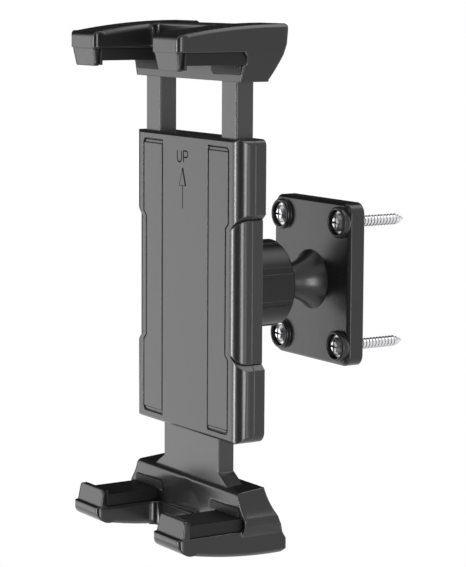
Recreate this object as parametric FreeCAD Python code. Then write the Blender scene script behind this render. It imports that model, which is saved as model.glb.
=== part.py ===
# Wall mount for a tablet: a plate on the wall, a ball joint with a lock nut, a flat housing,
# and two sprung slides whose claws grip the tablet's upper and lower edges.
# Millimetres. X to the right, Y towards the wall, Z up. The origin is on the wall, at the
# centre of the plate's back, on the axis of the ball's stem.
import FreeCAD, Part
import math
import os

V = FreeCAD.Vector

# Clearances
slide_gap = 0.2          # flat faces of a slide against its channel
ball_gap = 0.3           # round faces that turn on the ball
thread_gap = 0.3         # lock nut over the socket
seat_gap = 0.05          # a fixed piece in its pocket
pin_gap = 0.05           # gear on its pin
gear_room_gap = 0.5      # gear's teeth in the housing
end_gap = 1.0            # a slide's end from the end of its channel
rack_end_gap = 0.8       # gear's teeth from the end of a rack's pocket

# Wall plate with its screws
plate_width = 55.0
plate_height = 67.7
plate_thick = 7.5
plate_corner = 4.8
plate_bevel = 1.2
screw_pitch_x = 41.3
screw_pitch_z = 51.4
boss_dia = 12.8
boss_rise = 2.2
boss_bevel = 0.5
boss_recess_dia = 10.4
boss_recess_depth = 2.4
wall_screw_hole = 4.9
wall_screw_shank_dia = 4.4   # in the plate
wall_screw_dia = 4.0         # in the wall
wall_screw_head_dia = 7.4
wall_screw_head_height = 2.7
wall_screw_dome = 1.3        # the domed part of that height
wall_screw_crown_dia = 4.2   # the nearly flat middle of the dome
wall_screw_crown_fall = 0.15
wall_screw_flange_dia = 9.4
wall_screw_flange_thick = 0.8
wall_cross_reach = 2.4
wall_cross_width = 0.9
wall_cross_depth = 1.3
wall_screw_length = 32.0

# Ball and stem
ball_dia = 24.0
stem_length = 26.5       # from the plate's front to the ball's centre
neck_dia = 12.6
neck_length = 0.6        # the straight stretch next to the ball
stem_base_dia = 25.0

# Socket, cup, split ring and lock nut
cup_thick = 1.3
cup_angle = 60.0         # half angle of the cup, seen from the ball's centre
socket_wall = 1.3
socket_lip = 3.2         # from the socket's open end to the ball's centre
socket_collar = 2.4      # the collar at the socket's root, beyond the thread
collar_spread = 1.6      # the collar widens by this much at the housing
ring_front = 2.7         # the split ring runs from here, before the ball's centre
ring_rear = 3.7          # to here, behind it
ring_slit = 1.6
ring_gap = 0.4           # between the ring and the nut
ring_cone_start = 1.0    # the nut's cone runs from here, behind the ball's centre
ring_cone_end = 4.0      # to here
ring_cone_fall = 2.3     # and narrows by this much
nut_wall = 2.5
nut_mouth = 7.0          # nut's rear rim, behind the ball's centre
nut_standoff = 4.0       # between the nut and the housing
collar_gap = 0.6         # between the nut and the socket's collar
nut_lobes = 8
nut_groove_width = 2.6
nut_groove_depth = 0.7
nut_bevel = 0.8
nut_lip_gap = 0.45       # between the nut's inner lip and the ball
nut_mouth_depth = 0.9    # the flared mouth's depth
nut_mouth_step = 0.6     # the mouth is wider than the lip's curve
nut_mouth_flare = 0.7

# Slides
post_width = 11.0
post_depth = 8.1
post_edge = 0.7
bar_width = 42.0
bar_depth = 7.6
bar_edge = 0.5
bar_back = 0.3           # bar's rear face behind the posts'
slide_spacing = 2.3      # between the bar's edge and a post
travel_in = 14.0
travel_out = 22.0
grip_opening = 178.5     # between the liners, as shown

# Rack and gears
gear_module = 0.9
gear_teeth = 10
gear_width = 5.6
gear_pin_dia = 3.0
gear_pin_seat = 1.2      # how far a pin goes into the walls
tooth_share = 0.40       # tooth thickness as a share of the pitch
tooth_addendum = 0.65
tooth_dedendum = 1.0
tooth_angle = 25.0
rack_margin = 3.6        # rack beyond the last tooth in use
gear_root_height = 0.7   # a gear's tooth flank below the pitch line
gear_root_share = 0.6    # and the share of its slope there

# Housing
holder_z = 2.4           # housing's centre above the ball's axis
ball_to_housing = 23.0   # from the ball's centre to the housing's rear face
housing_height = 120.4
front_wall = 2.1
rear_wall = 1.9
side_wall = 3.8
cover_depth = 5.0        # from the rear face to the split line
side_round = 5.5         # the round along each front side edge
top_corner = 2.6
bottom_corner = 4.6
front_edge_bevel = 1.1
waist_step = 2.0         # the sides are this much narrower at the waist
waist_half = 29.0
waist_slant = 0.9
waist_groove = 0.5       # width of the groove at each end of the waist
waist_groove_depth = 0.6
cover_screw_dia = 2.8
cover_screw_head_dia = 5.4
cover_screw_head_height = 1.7
small_head_bevel = 0.7
small_screw_point = 1.0
small_cross_reach = 1.6
small_cross_width = 0.7
small_cross_depth = 0.9
small_head_room = 0.15   # round a small screw's head
screw_tip_room = 0.3     # hole beyond a screw's tip
cover_screw_sink = 0.3   # head's top below the rear face
cover_screw_tip = 0.6    # from the screw's tip to the front wall
top_screw_inset = 5.6    # below the housing's top
low_screw_inset = 8.1    # above the housing's bottom

# Grip strips on the front
strip_width = 15.6
strip_edge_gap = 7.5     # from the housing's side to the strip's pocket
strip_end_gap = 3.0      # from the housing's end to the strip's pocket
strip_depth = 0.9
strip_groove = 0.6
strip_corner = 2.2
strip_ledge = 1.3        # the lower ledge at each end of a strip
strip_ledge_depth = 0.35
strip_jog_inset = 4.0    # the strip's jog from the housing's

# Springs
spring_dia = 5.0
spring_wire = 0.8
spring_x = 9.2
spring_slot = 6.4
spring_pin_dia = 2.0
spring_pin_seat = 1.6    # how far a spring's pin goes into each side of its slot
spring_end_room = 1.0
spring_low_z = -14.0
spring_top_inset = 6.6   # upper pin below the housing's top
spring_ribs = 12
spring_eye_gap = 0.3

# Claws
claw_width = 20.5
claw_centre_x = 32.2
claw_rise = 11.8         # arm's front top edge above the gripped edge
claw_crown = 15.8        # top of the head above the gripped edge
claw_bow = 0.74          # share of that rise which the arm has at its middle
arm_under = 5.0          # arm's underside above the gripped edge: the liner's floor
arm_bevel = 1.5
arm_side_round = 2.3     # the upright corners of an arm's front
lip_overlap = 2.2        # lip below the gripped edge
lip_thick = 3.2
lip_lean = 1.2           # a lip's front face slopes back by this much
head_lip_root = 17.2     # an upper lip's width at the arm
head_lip_tip = 14.8
head_lip_round = 0.8
foot_lip_root = 19.9
foot_lip_tip = 18.2
foot_lip_round = 1.6
liner_lip_thick = 0.8
liner_inset = 1.0
liner_bite = 1.2         # how far the liner goes into the head's face
liner_round = 2.8
head_lip_front = -98.2
head_nose = 0.5          # an upper arm's front, before its lip
head_front_round = 2.6
foot_lip_front = -95.9
foot_nose = 2.0          # a lower arm's front, before its lip
foot_front_round = 6.0
head_skin = 1.4          # head's wall before the posts
head_back = 20.8         # head's depth from its face to its back
head_back_rise = 13.0    # the upright stretch of the head's back starts here
head_back_slant = 8.0
head_back_bow = 0.8
foot_back_rise = 10.0
foot_back_slant = 8.0
foot_back_bow = 1.2      # the foot's back is hollow by this much
head_slant_low = 6.0
head_end = 6.75          # head's inner end, from the gripped edge towards the housing
cheek_taper_rise = 3.75  # the head's cheeks slope inwards below this
cheek_taper = 3.0
bridge_dip = 0.7         # the bridge below the arms' crown
gap_round = 3.5
gap_cover = 1.0          # what the gap leaves on the face between the arms
foot_end = 9.75
foot_top_slope = 1.0     # the foot's top face is this much higher at the back
foot_top_bevel = 1.1
foot_top_half = 38.5
foot_wide_half = 44.5
foot_wide_rise = 3.5     # the widest stretch, above the gripped edge
foot_narrow_rise = 7.5
foot_side_bow = 0.8      # its sides are hollow by this much
scoop_reach = 60.0       # the scoop's axis before the foot's face
scoop_depth = 1.5
head_screw_dia = 2.8
head_screw_head_dia = 5.4
head_screw_seat = 3.0    # plastic under a screw's head
head_screw_tip = 1.5     # from the screw's tip to the post's front
post_seat_depth = 8.5    # post or bar into the head or foot, past the gripped edge
foot_screw_x = 12.0
flare_width = 7.0        # bar's flare at the foot, each side
flare_height = 4.6
flare_root = 3.0         # the flare inside the foot
pad_centre_x = 29.3
pad_rise = 3.6
pad_width = 21.5
pad_corner = 1.4
pad_thick = 0.8
pad_ribs = 12
pad_rib_rise = 1.7
pad_rib_width = 0.9
lip_root_sink = 0.5      # the lip's root inside the arm
liner_lip_gap = 0.4      # the rubber ends above the lip's tip

# Derived places, along Y
ball_r = ball_dia / 2
ball_y = -plate_thick - stem_length
cup_inner_r = ball_r + ball_gap
cup_outer_r = cup_inner_r + cup_thick
socket_r = cup_outer_r + ball_gap
socket_outer_r = socket_r + socket_wall
nut_bore_r = socket_outer_r + thread_gap
nut_outer_r = nut_bore_r + nut_wall
nut_rear = ball_y + nut_mouth
housing_rear = ball_y - ball_to_housing
nut_front = housing_rear + nut_standoff
housing_depth = front_wall + rear_wall + post_depth + 2 * slide_gap
housing_front = housing_rear - housing_depth
split_y = housing_rear - cover_depth
post_front = housing_front + front_wall + slide_gap
post_rear = post_front + post_depth
post_mid_y = (post_front + post_rear) / 2
bar_rear = post_rear + bar_back
bar_front = bar_rear - bar_depth
bar_mid_y = (bar_front + bar_rear) / 2

# Derived places, across X
post_inner = bar_width / 2 + slide_spacing
post_outer = post_inner + post_width
post_centre_x = (post_inner + post_outer) / 2
gear_x = bar_width / 2 + slide_spacing / 2
housing_half = post_outer + slide_gap + side_wall + waist_step
top_screw_x = (spring_x + spring_slot / 2 + post_inner) / 2
low_screw_x = post_centre_x
strip_high_x = housing_half - strip_edge_gap
strip_low_x = strip_high_x - strip_width
arm_outer = claw_centre_x + claw_width / 2
arm_inner = claw_centre_x - claw_width / 2
pitch_r = gear_module * gear_teeth / 2
tooth_pitch = math.pi * gear_module

# Derived places, up and down from the housing's centre
grip_z = grip_opening / 2
half_height = housing_height / 2
top_screw_z = half_height - top_screw_inset
low_screw_z = low_screw_inset - half_height
strip_half_height = half_height - strip_end_gap
spring_top_z = half_height - spring_top_inset
rack_half_out = travel_out + rack_margin
slide_end = rack_half_out + travel_in + end_gap
pocket_in = travel_in + pitch_r + tooth_addendum + rack_end_gap
head_face = post_front - head_skin
head_rear = head_face + head_back
seat_depth = grip_z + post_seat_depth
crown_z = grip_z + claw_crown


def place(axis, a, b, along=0.0):
    """A point of a profile that is drawn across the given axis."""
    if axis == "x":
        return V(along, a, b)
    if axis == "y":
        return V(a, along, b)
    return V(a, b, along)


def corner_arc(before, corner, after, radius):
    """The two ends and the middle of the arc that rounds one corner."""
    to_before = (before - corner).normalize()
    to_after = (after - corner).normalize()
    half = to_before.getAngle(to_after) / 2
    reach = radius / math.tan(half)
    bisector = (to_before + to_after).normalize()
    middle = corner + bisector * (radius / math.sin(half) - radius)
    return corner + to_before * reach, middle, corner + to_after * reach


def profile(axis, points, along=0.0):
    """A closed face. A point is (a, b), or (a, b, radius) to round that corner, or
    ("via", a, b) for an arc from the point before it to the point after it."""
    count = len(points)
    solid_points = [place(axis, p[-2], p[-1], along) if p[0] == "via"
                    else place(axis, p[0], p[1], along) for p in points]
    starts = list(solid_points)
    ends = list(solid_points)
    edges = []
    for i, p in enumerate(points):
        rounded = p[0] != "via" and len(p) == 3 and p[2] > 0
        if rounded:
            before = solid_points[i - 1]
            after = solid_points[(i + 1) % count]
            first, middle, last = corner_arc(before, solid_points[i], after, p[2])
            starts[i] = first
            ends[i] = last
            edges.append(Part.Arc(first, middle, last).toShape())
    for i, p in enumerate(points):
        following = (i + 1) % count
        if p[0] == "via":
            arc = Part.Arc(ends[i - 1], solid_points[i], starts[following])
            edges.append(arc.toShape())
        elif points[following][0] != "via":
            if ends[i].distanceToPoint(starts[following]) > 1e-6:
                edges.append(Part.LineSegment(ends[i], starts[following]).toShape())
    return Part.Face(Part.Wire(Part.__sortEdges__(edges)))


def prism(axis, points, low, high):
    """A profile pulled from low to high along its axis."""
    return profile(axis, points, low).extrude(place_along(axis, high - low))


def place_along(axis, length):
    return {"x": V(length, 0, 0), "y": V(0, length, 0), "z": V(0, 0, length)}[axis]


def box(x, y, z):
    """A box from three (low, high) pairs."""
    return Part.makeBox(x[1] - x[0], y[1] - y[0], z[1] - z[0], V(x[0], y[0], z[0]))


def rod_y(radius, y_low, y_high, x=0.0, z=0.0):
    return Part.makeCylinder(radius, y_high - y_low, V(x, y_low, z), V(0, 1, 0))


def rod_x(radius, x_low, x_high, y, z):
    return Part.makeCylinder(radius, x_high - x_low, V(x_low, y, z), V(1, 0, 0))


def turned_y(points, x=0.0, z=0.0):
    """A body turned about the line along Y at (x, z). Points are (radius, y)."""
    face = profile("z", points)
    solid = face.revolve(V(0, 0, 0), V(0, 1, 0), 360)
    solid.translate(V(x, 0, z))
    return solid


def mirrored(shape):
    """The same shape on the other side of the middle plane."""
    return shape.mirror(V(0, 0, 0), V(1, 0, 0))


def both_sides(shape):
    return shape.fuse(mirrored(shape))


def rounded_rectangle(half_x, half_z, radius):
    return [(-half_x, -half_z, radius), (half_x, -half_z, radius),
            (half_x, half_z, radius), (-half_x, half_z, radius)]


def screw_places():
    half_x = screw_pitch_x / 2
    half_z = screw_pitch_z / 2
    return [(sx * half_x, sz * half_z) for sx in (-1, 1) for sz in (-1, 1)]


def cross_recess(reach, width, y_low, y_high, x, z):
    """A cross-shaped driver recess between two places along Y."""
    across = box((x - reach, x + reach), (y_low, y_high), (z - width / 2, z + width / 2))
    upright = box((x - width / 2, x + width / 2), (y_low, y_high), (z - reach, z + reach))
    return across.fuse(upright)


def make_ball_plate():
    """Plate, stem and ball, moulded in one piece."""
    half_x = plate_width / 2
    half_z = plate_height / 2
    plate = prism("y", rounded_rectangle(half_x, half_z, plate_corner), -plate_thick, 0.0)
    rim = [edge for edge in plate.Edges
           if all(abs(vertex.Y + plate_thick) < 1e-6 for vertex in edge.Vertexes)]
    plate = plate.makeChamfer(plate_bevel, rim)
    boss_top = -plate_thick - boss_rise
    for x, z in screw_places():
        boss = rod_y(boss_dia / 2, boss_top, -plate_thick / 2, x, z)
        plate = plate.fuse(boss.makeChamfer(boss_bevel, rings_at(boss, boss_top)))
    for x, z in screw_places():
        plate = plate.cut(rod_y(boss_recess_dia / 2, boss_top, boss_top + boss_recess_depth, x, z))
        plate = plate.cut(rod_y(wall_screw_hole / 2, boss_top, 0.0, x, z))
    return plate.fuse(make_stem()).removeSplitter()


def make_stem():
    """Ball and neck, with a wide hollow curve from the neck to the plate."""
    neck_r = neck_dia / 2
    base_r = stem_base_dia / 2
    neck_start = ball_y + math.sqrt(ball_r ** 2 - neck_r ** 2)
    curve_start = neck_start + neck_length
    across = base_r - neck_r
    along = -plate_thick - curve_start
    curve_r = (across ** 2 + along ** 2) / (2 * across)
    middle = neck_r + curve_r - math.sqrt(curve_r ** 2 - (along / 2) ** 2)
    return turned_y([(0, ball_y - ball_r),
                     ("via", ball_r, ball_y),
                     (neck_r, neck_start),
                     (neck_r, curve_start),
                     ("via", middle, curve_start + along / 2),
                     (base_r, -plate_thick),
                     (base_r, -plate_thick / 2),
                     (0, -plate_thick / 2)])


def rings_at(shape, y):
    """The full circle edges of a shape in the plane across Y at y."""
    return [edge for edge in shape.Edges
            if len(edge.Vertexes) == 1 and abs(edge.Vertexes[0].Y - y) < 1e-6
            and edge.Length > 1]


def make_wall_screws():
    """Four cross-head screws in the plate, their threaded ends in the wall."""
    seat = -plate_thick - boss_rise + boss_recess_depth
    crown = seat - wall_screw_head_height
    flange = seat - wall_screw_flange_thick
    crown_r = wall_screw_crown_dia / 2
    head_r = wall_screw_head_dia / 2
    flange_r = wall_screw_flange_dia / 2
    shank_r = wall_screw_shank_dia / 2
    thread_r = wall_screw_dia / 2
    tip = seat + wall_screw_length
    screws = []
    for x, z in screw_places():
        screw = turned_y([(0, crown), (crown_r, crown + wall_screw_crown_fall),
                          (head_r, crown + wall_screw_dome),
                          (head_r, flange), (flange_r, flange), (flange_r, seat),
                          (shank_r, seat), (shank_r, 0), (thread_r, 0),
                          (thread_r, tip - 2 * thread_r), (thread_r / 5, tip), (0, tip)], x, z)
        screws.append(screw.cut(cross_recess(wall_cross_reach, wall_cross_width, crown,
                                             crown + wall_cross_depth, x, z)))
    return Part.makeCompound(screws)


def make_friction_pad():
    """Cup between the ball's front and the socket."""
    angle = math.radians(cup_angle)
    half = angle / 2

    def at(radius, turn):
        return (radius * math.sin(turn), ball_y - radius * math.cos(turn))

    inner_mid = at(cup_inner_r, half)
    outer_mid = at(cup_outer_r, half)
    return turned_y([at(cup_outer_r, 0), ("via",) + outer_mid, at(cup_outer_r, angle),
                     at(cup_inner_r, angle), ("via",) + inner_mid, at(cup_inner_r, 0)])


def ring_cone():
    """The line where the ring meets the nut: two (radius, y) points on the nut's side."""
    wide = (nut_bore_r, ball_y + ring_cone_start)
    narrow = (nut_bore_r - ring_cone_fall, ball_y + ring_cone_end)
    return wide, narrow


def make_clamp_ring():
    """Split ring that the lock nut presses on the ball's rear half."""
    wide, narrow = ring_cone()
    y_front = ball_y - ring_front
    y_rear = ball_y + ring_rear
    inner_front = math.sqrt(cup_inner_r ** 2 - ring_front ** 2)
    inner_rear = math.sqrt(cup_inner_r ** 2 - ring_rear ** 2)
    outer = nut_bore_r - ring_gap
    slope = (wide[0] - narrow[0]) / (narrow[1] - wide[1])
    outer_rear = outer - slope * (y_rear - wide[1])
    ring = turned_y([(inner_front, y_front), (outer, y_front),
                     (outer, wide[1]), (outer_rear, y_rear), (inner_rear, y_rear),
                     ("via", cup_inner_r, ball_y)])
    slit = box((-ring_slit / 2, ring_slit / 2), (y_front - 1, y_rear + 1),
               (-nut_outer_r, 0))
    return ring.cut(slit)


def make_lock_nut():
    """Lobed nut on the socket, with a cone that presses the ring."""
    wide, narrow = ring_cone()
    lip_r = ball_r + nut_lip_gap
    lip_front = math.sqrt(lip_r ** 2 - (narrow[1] - ball_y) ** 2)
    mouth_y = nut_rear - nut_mouth_depth
    mouth_r = math.sqrt(lip_r ** 2 - (mouth_y - ball_y) ** 2) + nut_mouth_step
    nut = turned_y([(nut_bore_r, nut_front), (nut_outer_r - nut_bevel, nut_front),
                    (nut_outer_r, nut_front + nut_bevel), (nut_outer_r, nut_rear - nut_bevel),
                    (nut_outer_r - nut_bevel, nut_rear), (mouth_r + nut_mouth_flare, nut_rear),
                    (mouth_r, mouth_y), (lip_front, narrow[1]), narrow, wide])
    for i in range(nut_lobes):
        groove = box((-nut_groove_width / 2, nut_groove_width / 2),
                     (nut_front - 1, nut_rear + 1),
                     (nut_outer_r - nut_groove_depth, nut_outer_r + 2))
        groove.rotate(V(0, 0, 0), V(0, 1, 0), (i + 0.5) * 360 / nut_lobes)
        nut = nut.cut(groove)
    return nut


def housing_form(half_x):
    """The housing's outer form for one half width, about its own centre."""
    section = prism("z", [(-half_x, housing_rear), (half_x, housing_rear),
                          (half_x, housing_front, side_round),
                          (-half_x, housing_front, side_round)],
                    -half_height, half_height)
    outline = prism("y", [(-half_x, -half_height, bottom_corner),
                          (half_x, -half_height, bottom_corner),
                          (half_x, half_height, top_corner),
                          (-half_x, half_height, top_corner)],
                    housing_front - 1, housing_rear + 1)
    bevel = front_edge_bevel
    side = prism("x", [(housing_rear, -half_height), (housing_rear, half_height),
                       (housing_front + bevel, half_height), (housing_front, half_height - bevel),
                       (housing_front, -half_height + bevel), (housing_front + bevel, -half_height)],
                 -half_x - 1, half_x + 1)
    return section.common(outline).common(side)


def make_housing_body():
    """Housing without its cavities: full width at the ends, narrower at the waist, with a
    fine groove where the width changes."""
    narrow_half = housing_half - waist_step
    inner = narrow_half - 2 * side_round
    outer = housing_half + 2
    inner_z = waist_half + waist_slant * (inner - narrow_half)
    outer_z = waist_half + waist_slant * (outer - narrow_half)
    notch = prism("y", [(inner, -inner_z), (outer, -outer_z), (outer, outer_z),
                        (inner, inner_z)], housing_front - 1, housing_rear + 1)
    notches = both_sides(notch).cut(housing_form(narrow_half))
    line = prism("y", [(inner, inner_z - waist_groove), (outer, outer_z - waist_groove),
                       (outer, outer_z), (inner, inner_z)], housing_front - 1, housing_rear + 1)
    lines = both_sides(line.fuse(upside_down(line)))
    lines = lines.cut(housing_form(narrow_half - waist_groove_depth))
    return housing_form(housing_half).cut(notches).cut(lines)


def slide_cavities():
    """Everything that the slides, gears and springs need inside the housing."""
    post_y = (post_front - slide_gap, post_rear + slide_gap)
    bar_y = (bar_front - slide_gap, bar_rear + slide_gap)
    channel = box((post_inner - slide_gap, post_outer + slide_gap), post_y,
                  (-slide_end, half_height + 1))
    gear_room = rod_y(pitch_r + tooth_addendum + gear_room_gap, post_y[0], post_y[1], gear_x)
    bosses = rod_y(pitch_r - tooth_addendum - gear_room_gap, post_y[0], post_y[1], gear_x)
    gear_slot = (post_mid_y - gear_width / 2 - slide_gap, post_mid_y + gear_width / 2 + slide_gap)
    bosses = bosses.cut(box((0, 2 * gear_x), gear_slot, (-2 * pitch_r, 2 * pitch_r)))
    bar_room = box((-bar_width / 2 - slide_gap, bar_width / 2 + slide_gap), bar_y,
                   (-half_height - 1, slide_end))
    spring_room = box((spring_x - spring_slot / 2, spring_x + spring_slot / 2), bar_y,
                      (slide_end - 1, spring_top_z + spring_dia / 2 + spring_end_room))
    room = bar_room.fuse(both_sides(channel.fuse(gear_room).fuse(spring_room)))
    room = room.cut(both_sides(bosses))
    return room.fuse(both_sides(gear_pin().fuse(spring_pin(spring_top_z, seat_gap))))


def spring_pin(z, extra=0.0):
    """Right-hand cross pin that holds one end of a spring."""
    half = spring_slot / 2 + spring_pin_seat + extra
    return rod_x(spring_pin_dia / 2 + extra, spring_x - half, spring_x + half, bar_mid_y, z)


def gear_pin():
    """Right-hand pin that carries a gear, held in both walls."""
    return rod_y(gear_pin_dia / 2, post_front - gear_pin_seat, post_rear + gear_pin_seat, gear_x)


def cover_screw_places():
    return [(sx * top_screw_x, top_screw_z) for sx in (-1, 1)] + \
           [(sx * low_screw_x, low_screw_z) for sx in (-1, 1)]


def make_cover_screws():
    """Four screws that hold the rear cover on the front shell."""
    screws = [make_screw(housing_rear - cover_screw_sink, cover_screw_dia,
                         cover_screw_head_dia, cover_screw_length(), x, z)
              for x, z in cover_screw_places()]
    return Part.makeCompound(screws)


def cover_screw_length():
    return housing_depth - front_wall - cover_screw_sink - cover_screw_tip


def cut_cover_screw_holes(shell):
    for x, z in cover_screw_places():
        shell = shell.cut(screw_hole(housing_rear - cover_screw_sink, cover_screw_dia,
                                     cover_screw_head_dia, cover_screw_length(), x, z))
    return shell


def make_screw(y_top, dia, head_dia, length, x, z):
    """A pan-head screw whose head faces +Y, with its top at y_top."""
    head = cover_screw_head_height
    bevel = small_head_bevel
    screw = turned_y([(0, y_top), (head_dia / 2 - bevel, y_top), (head_dia / 2, y_top - bevel),
                      (head_dia / 2, y_top - head), (dia / 2, y_top - head),
                      (dia / 2, y_top - length + small_screw_point), (0, y_top - length)], x, z)
    return screw.cut(cross_recess(small_cross_reach, small_cross_width,
                                  y_top - small_cross_depth, y_top, x, z))


def screw_hole(y_top, dia, head_dia, length, x, z):
    """The room of such a screw: its head's counterbore, open to the back, and its hole."""
    head = cover_screw_head_height
    wide = rod_y(head_dia / 2 + small_head_room, y_top - head, ball_y, x, z)
    narrow = rod_y(dia / 2 + seat_gap, y_top - length - screw_tip_room, y_top, x, z)
    return wide.fuse(narrow)


def strip_outline(grow):
    """Outline of the right grip strip's pocket, narrower at the waist."""
    low = strip_low_x - grow
    high = strip_high_x + grow
    top = strip_half_height + grow
    jog = waist_half - strip_jog_inset
    step = waist_step
    return [(low, -top), (high, -top, strip_corner), (high, -jog - step), (high - step, -jog),
            (high - step, jog), (high, jog + step), (high, top, strip_corner), (low, top)]


def make_grip_strip():
    """Right grip strip, in its pocket with a fine groove around it and a ledge at each end."""
    strip = prism("y", strip_outline(-strip_groove), housing_front, housing_front + strip_depth)
    ledge_z = strip_half_height - strip_groove - strip_ledge
    for low, high in ((-half_height, -ledge_z), (ledge_z, half_height)):
        strip = strip.cut(box((0, housing_half),
                              (housing_front - 1, housing_front + strip_ledge_depth),
                              (low, high)))
    return strip


def make_front_shell():
    """Front half of the housing."""
    body = make_housing_body()
    front = body.cut(box((-2 * housing_half, 2 * housing_half), (split_y, ball_y),
                         (-housing_height, housing_height)))
    pocket = prism("y", strip_outline(0.0), housing_front - 1, housing_front + strip_depth)
    front = front.cut(slide_cavities()).cut(both_sides(pocket))
    return cut_cover_screw_holes(front)


def make_rear_cover():
    """Rear half of the housing, with the ball socket."""
    body = make_housing_body()
    rear = body.cut(box((-2 * housing_half, 2 * housing_half), (housing_front - 1, split_y),
                        (-housing_height, housing_height)))
    rear = rear.cut(slide_cavities())
    socket_z = -holder_z
    lip_y = ball_y - socket_lip
    collar_y = nut_front - collar_gap
    collar_r = socket_outer_r + socket_collar
    root_y = housing_rear - rear_wall / 2
    socket = turned_y([(0, root_y), (collar_r + collar_spread, root_y),
                       (collar_r + collar_spread, housing_rear), (collar_r, collar_y),
                       (socket_outer_r, collar_y), (socket_outer_r, lip_y), (0, lip_y)],
                      0, socket_z)
    hollow = Part.makeSphere(socket_r, V(0, ball_y, socket_z))
    rear = rear.fuse(socket.cut(hollow))
    return cut_cover_screw_holes(rear).removeSplitter()


def rack_pocket(x_root, facing, z_low, z_high, x_open, y_range):
    """What is cut away to leave a rack. The teeth stand from x_root towards facing."""
    tip = x_root + facing * (tooth_addendum + tooth_dedendum)
    slope = math.tan(math.radians(tooth_angle))
    half_pitch_line = tooth_share * tooth_pitch / 2
    half_tip = half_pitch_line - tooth_addendum * slope
    half_root = half_pitch_line + tooth_dedendum * slope
    points = [(x_open, z_low), (x_root, z_low)]
    first = math.ceil((z_low + half_root) / tooth_pitch - 0.5)
    last = math.floor((z_high - half_root) / tooth_pitch - 0.5)
    for k in range(first, last + 1):
        z = (k + 0.5) * tooth_pitch
        points += [(x_root, z - half_root), (tip, z - half_tip), (tip, z + half_tip),
                   (x_root, z + half_root)]
    points += [(x_root, z_high), (x_open, z_high)]
    return prism("y", points, y_range[0], y_range[1])


def make_top_post():
    """Right post of the upper slide, with a rack on its inner side."""
    low = -rack_half_out
    section = [(post_inner, post_front, post_edge), (post_outer, post_front, post_edge),
               (post_outer, post_rear, post_edge), (post_inner, post_rear, post_edge)]
    post = prism("z", section, low, seat_depth)
    root = gear_x + pitch_r + tooth_dedendum
    pocket = rack_pocket(root, -1, low - 1, pocket_in, gear_x,
                         (post_front - 1, post_rear + 1))
    post = post.cut(pocket)
    return post.cut(head_screw_hole(post_centre_x, grip_z))


def make_bottom_bar():
    """Flat bar of the lower slide: racks on both edges, two spring slots and a flared end."""
    half = bar_width / 2
    top = rack_half_out
    low = -seat_depth
    foot_top = -grip_z + foot_end
    section = [(-half, bar_front, bar_edge), (half, bar_front, bar_edge),
               (half, bar_rear, bar_edge), (-half, bar_rear, bar_edge)]
    bar = prism("z", section, low, top)
    flare = prism("y", [(0, foot_top + flare_height), (half, foot_top + flare_height),
                        (half + flare_width, foot_top), (half + flare_width, foot_top - flare_root),
                        (0, foot_top - flare_root)], bar_front, bar_rear)
    bar = bar.fuse(both_sides(flare))
    root = gear_x - pitch_r - tooth_dedendum
    pocket = rack_pocket(root, 1, -pocket_in, top + 1, gear_x, (bar_front - 1, bar_rear + 1))
    slot = box((spring_x - spring_slot / 2, spring_x + spring_slot / 2),
               (bar_front - 1, bar_rear + 1),
               (spring_low_z - spring_dia / 2 - spring_end_room, top + 1))
    cuts = both_sides(pocket.fuse(slot).fuse(spring_pin(spring_low_z, seat_gap)))
    bar = bar.cut(cuts)
    bar = bar.cut(head_screw_hole(foot_screw_x, -grip_z))
    return bar.cut(head_screw_hole(-foot_screw_x, -grip_z)).removeSplitter()


def head_screw_top():
    """Where the top of a head screw's head lies: sunk below the head's sloping back."""
    return post_rear + head_screw_seat + cover_screw_head_height


def head_screw_reach():
    return cover_screw_head_height + head_screw_seat + post_depth - head_screw_tip


def head_screw_hole(x, z):
    return screw_hole(head_screw_top(), head_screw_dia, head_screw_head_dia,
                      head_screw_reach(), x, z)


def make_gear():
    """Right gear: straight-sided teeth with room to turn freely between the racks."""
    slope = math.tan(math.radians(tooth_angle))
    half_pitch_line = tooth_share * tooth_pitch / 2
    tip_r = pitch_r + tooth_addendum
    root_r = pitch_r - tooth_dedendum
    half_tip = half_pitch_line - tooth_addendum * slope
    half_root = half_pitch_line + gear_root_height * slope * gear_root_share
    points = []
    for k in range(gear_teeth):
        turn = 2 * math.pi * k / gear_teeth
        for radius, half in ((root_r, -half_root), (tip_r, -half_tip), (tip_r, half_tip),
                             (root_r, half_root)):
            x = radius * math.cos(turn) - half * math.sin(turn)
            z = radius * math.sin(turn) + half * math.cos(turn)
            points.append((gear_x + x, z))
    low = post_mid_y - gear_width / 2
    gear = prism("y", points, low, low + gear_width)
    return gear.cut(rod_y(gear_pin_dia / 2 + pin_gap, low - 1, low + gear_width + 1, gear_x))


def make_gear_pins():
    return Part.makeCompound([gear_pin(), mirrored(gear_pin())])


def make_pin_pair(z):
    pin = spring_pin(z)
    return Part.makeCompound([pin, mirrored(pin)])


def make_spring():
    """Right extension spring, with an eye round each cross pin."""
    eye_r = spring_pin_dia / 2 + spring_wire / 2 + spring_eye_gap
    low = spring_low_z + eye_r
    high = spring_top_z - eye_r
    r_out = spring_dia / 2
    r_in = r_out - spring_wire
    step = (high - low) / spring_ribs
    points = [(0, low)]
    for i in range(spring_ribs):
        z = low + i * step
        points += [(r_in, z), (r_out, z + step / 2)]
    points += [(r_in, high), (0, high)]
    coil = profile("y", points).revolve(V(0, 0, 0), V(0, 0, 1), 360)
    core = Part.makeCylinder(r_in - spring_wire, high - low - 2, V(0, 0, low + 1), V(0, 0, 1))
    spring = coil.cut(core)
    for z in (spring_low_z, spring_top_z):
        eye = rod_x(eye_r + spring_wire / 2, -spring_wire / 2, spring_wire / 2, 0, z)
        spring = spring.fuse(eye.cut(rod_x(eye_r - spring_wire / 2, -1, 1, 0, z)))
    spring.translate(V(spring_x, bar_mid_y, 0))
    return spring


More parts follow.
